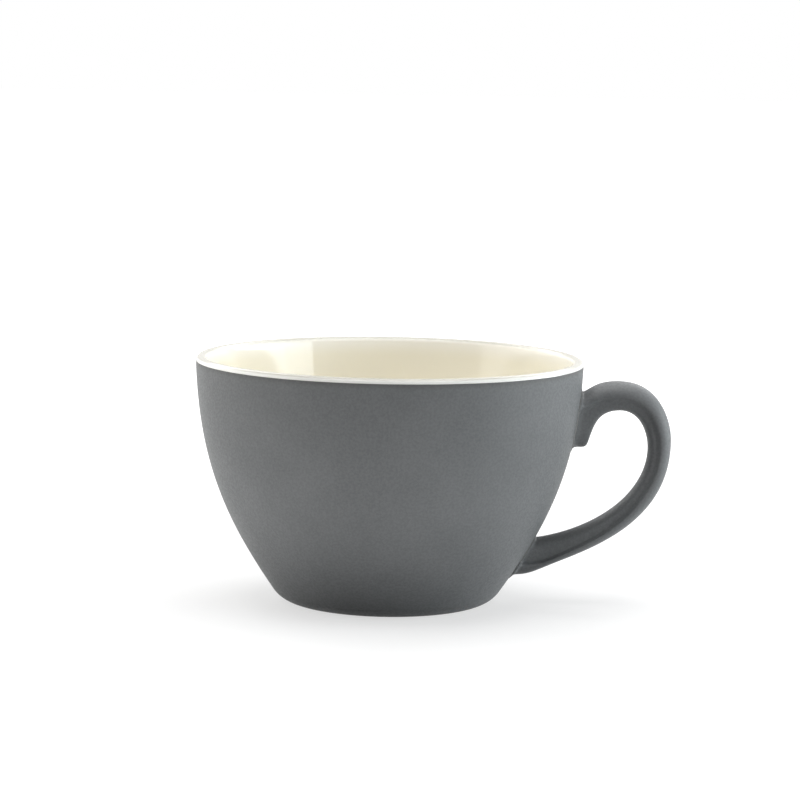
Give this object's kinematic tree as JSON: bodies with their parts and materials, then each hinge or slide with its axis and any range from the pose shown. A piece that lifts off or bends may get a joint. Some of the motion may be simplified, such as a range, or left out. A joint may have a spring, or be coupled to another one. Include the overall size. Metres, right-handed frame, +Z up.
{
  "type": "latte bowl",
  "caption": "Low, wide porcelain cup with a rounded flank, a shallow foot ring and a cast ear handle, matt grey outside and glossy ivory inside.",
  "frame": {"origin": "centre of the foot ring, on the plane that the cup stands on", "axes": "+Z up along the bowl's axis, +X towards the handle, which lies in the XZ plane"},
  "size_m": [0.1356, 0.11, 0.07],
  "materials": {
    "porcelain": "unglazed, fine and dry",
    "slip": "matt, under the grey glaze",
    "ivory_glaze": "glossy",
    "grey_glaze": "matt, finely speckled"
  },
  "bodies": {
    "root": {"bowl_body": "porcelain", "handle": "porcelain", "upper_slip_joint": "slip", "lower_slip_joint": "slip", "inner_glaze": "ivory_glaze", "outer_glaze": "grey_glaze", "handle_glaze": "grey_glaze", "base_glaze": "grey_glaze"}
  },
  "joints": []
}
